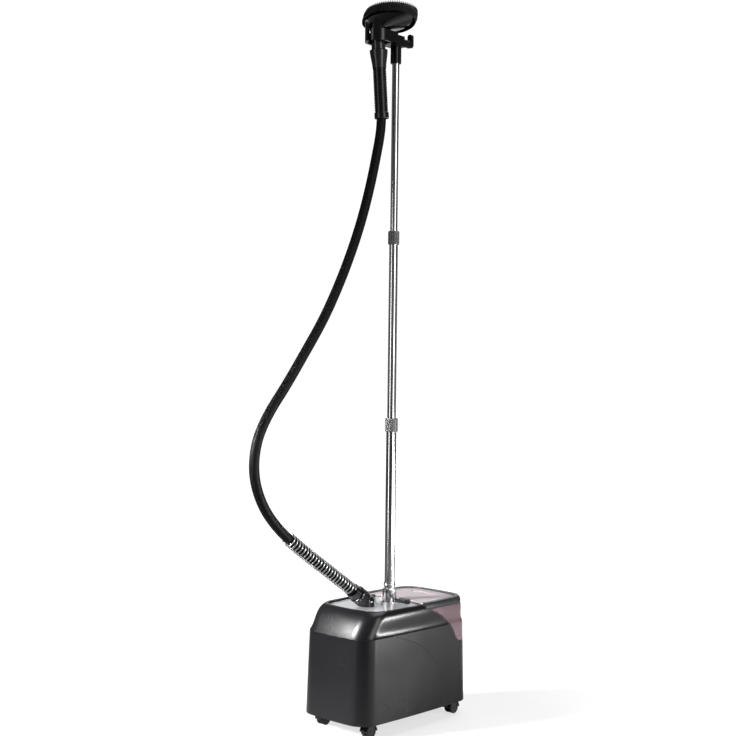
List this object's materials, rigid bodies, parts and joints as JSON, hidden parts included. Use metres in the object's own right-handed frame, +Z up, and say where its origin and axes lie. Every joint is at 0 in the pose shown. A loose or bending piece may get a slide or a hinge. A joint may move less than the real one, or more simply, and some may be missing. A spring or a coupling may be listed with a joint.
{
  "type": "garment steamer",
  "caption": "Upright garment steamer: rolling base with lift-out water tank, telescopic pole, cradle, spring-guarded hose and a ribbed steam head with a brush ring.",
  "frame": {"origin": "on the ground under the centre of the rolling base", "axes": "+Z up along the pole, -Y towards the narrow front where the hose leaves, +Y towards the water tank, +X the side the lock lever points to"},
  "size_m": [0.196, 0.5744, 1.5439],
  "materials": {
    "housing_black": "satin moulded ABS",
    "gloss_black": "polished",
    "collar_grey": "satin",
    "deck_silver": "satin silver lacquer",
    "lid_grey": "satin",
    "tank_pink": "smoky pink translucent",
    "chrome": "polished",
    "steel": "drawn",
    "alloy": "cast",
    "rubber_black": "matte",
    "hose_braid": "braided sleeve",
    "inner_plastic": "moulded",
    "board_green": "laminate",
    "brass": "plain",
    "lamp_red": "translucent",
    "bristle": "matte"
  },
  "bodies": {
    "base": {"base_fasteners": "steel", "base_plate": "housing_black", "boiler": "alloy", "boiler_cover": "alloy", "caster_sockets": "inner_plastic", "control_board": "board_green", "cord_inlet": "rubber_black", "deck_plate": "deck_silver", "feed_pipe": "brass", "heater_element": "steel", "hose": "hose_braid", "hose_elbow": "gloss_black", "hose_sleeve": "gloss_black", "hose_spring": "steel", "indicator_lens": "lamp_red", "lower_housing": "housing_black", "lower_tube": "chrome", "pole_seat": "inner_plastic", "pole_socket": "chrome", "socket_bead": "chrome", "steam_pipe": "brass", "tank_bay": "housing_black", "upper_housing": "housing_black", "valve_seat": "collar_grey"},
    "pole_mid": {"mid_tube": "chrome", "mid_bush": "inner_plastic"},
    "pole_top": {"upper_tube": "chrome", "upper_bush": "inner_plastic", "pole_sleeve": "housing_black", "sleeve_screw": "steel", "cradle": "housing_black", "hanger_peg": "housing_black"},
    "handset": {"ribbed_grip": "housing_black", "grip_cuff": "housing_black", "bell_collar": "gloss_black", "neck": "gloss_black", "steam_tube": "inner_plastic", "handset_shell": "gloss_black", "steam_plate": "alloy", "brush_frame": "housing_black", "brush_bristles": "bristle", "brush_clips": "housing_black"},
    "collar_low": {"lower_collar": "collar_grey"},
    "collar_high": {"upper_collar": "collar_grey"},
    "tank": {"tank_shell": "tank_pink", "tank_valve": "collar_grey", "lid_frame": "lid_grey", "lid_panel": "tank_pink", "lid_grip": "collar_grey"},
    "knob": {"control_knob": "chrome"},
    "lever": {"lock_lever": "housing_black"},
    "nut": {"hose_nut": "gloss_black"},
    "swivel_rear_left": {"caster_hood_rear_left": "housing_black"},
    "wheels_rear_left": {"caster_wheels_rear_left": "rubber_black"},
    "swivel_front_left": {"caster_hood_front_left": "housing_black"},
    "wheels_front_left": {"caster_wheels_front_left": "rubber_black"},
    "swivel_rear_right": {"caster_hood_rear_right": "housing_black"},
    "wheels_rear_right": {"caster_wheels_rear_right": "rubber_black"},
    "swivel_front_right": {"caster_hood_front_right": "housing_black"},
    "wheels_front_right": {"caster_wheels_front_right": "rubber_black"}
  },
  "joints": [
    {"name": "pole_height", "type": "slide", "parent": "base", "child": "pole_top", "axis": [0, 0, 1], "range_m": [-0.66, 0], "deforming": ["hose", "hose_spring"]},
    {"name": "pole_mid_slide", "type": "slide", "parent": "base", "child": "pole_mid", "axis": [0, 0, 1], "range_m": [-0.33, 0]},
    {"name": "handset_lift", "type": "slide", "parent": "pole_top", "child": "handset", "axis": [0, -0.0872, 0.9962], "range_m": [0, 0.08]},
    {"name": "lower_collar_twist", "type": "hinge", "parent": "base", "child": "collar_low", "pos_m": [0, 0.005, 0.637], "axis": [0, 0, 1], "range_deg": [0, 90]},
    {"name": "upper_collar_twist", "type": "hinge", "parent": "pole_mid", "child": "collar_high", "pos_m": [0, 0.005, 1.043], "axis": [0, 0, 1], "range_deg": [0, 90]},
    {"name": "tank_lift", "type": "slide", "parent": "base", "child": "tank", "axis": [0, 0, 1], "range_m": [0, 0.12]},
    {"name": "knob_turn", "type": "hinge", "parent": "base", "child": "knob", "pos_m": [-0.011, -0.034, 0.2535], "axis": [0, 0, 1], "range_deg": [-270, 0]},
    {"name": "lever_swing", "type": "hinge", "parent": "base", "child": "lever", "pos_m": [0.0252, 0.005, 0.2535], "axis": [0, 0, 1], "range_deg": [-75, 0]},
    {"name": "nut_turn", "type": "hinge", "parent": "base", "child": "nut", "pos_m": [0, -0.112, 0.293], "axis": [0, -0.8291, 0.5592], "range_deg": [-120, 0]},
    {"name": "swivel_turn_rear_left", "type": "hinge", "parent": "base", "child": "swivel_rear_left", "pos_m": [-0.066, 0.133, 0.05], "axis": [0, 0, 1], "continuous": true},
    {"name": "wheel_spin_rear_left", "type": "hinge", "parent": "swivel_rear_left", "child": "wheels_rear_left", "pos_m": [-0.066, 0.14, 0.0125], "axis": [1, 0, 0], "continuous": true},
    {"name": "swivel_turn_front_left", "type": "hinge", "parent": "base", "child": "swivel_front_left", "pos_m": [-0.066, -0.133, 0.05], "axis": [0, 0, 1], "continuous": true},
    {"name": "wheel_spin_front_left", "type": "hinge", "parent": "swivel_front_left", "child": "wheels_front_left", "pos_m": [-0.066, -0.126, 0.0125], "axis": [1, 0, 0], "continuous": true},
    {"name": "swivel_turn_rear_right", "type": "hinge", "parent": "base", "child": "swivel_rear_right", "pos_m": [0.066, 0.133, 0.05], "axis": [0, 0, 1], "continuous": true},
    {"name": "wheel_spin_rear_right", "type": "hinge", "parent": "swivel_rear_right", "child": "wheels_rear_right", "pos_m": [0.066, 0.14, 0.0125], "axis": [1, 0, 0], "continuous": true},
    {"name": "swivel_turn_front_right", "type": "hinge", "parent": "base", "child": "swivel_front_right", "pos_m": [0.066, -0.133, 0.05], "axis": [0, 0, 1], "continuous": true},
    {"name": "wheel_spin_front_right", "type": "hinge", "parent": "swivel_front_right", "child": "wheels_front_right", "pos_m": [0.066, -0.126, 0.0125], "axis": [1, 0, 0], "continuous": true}
  ],
  "couplings": [
    {"joint": "pole_mid_slide", "follows": "pole_height", "ratio": 0.5}
  ]
}
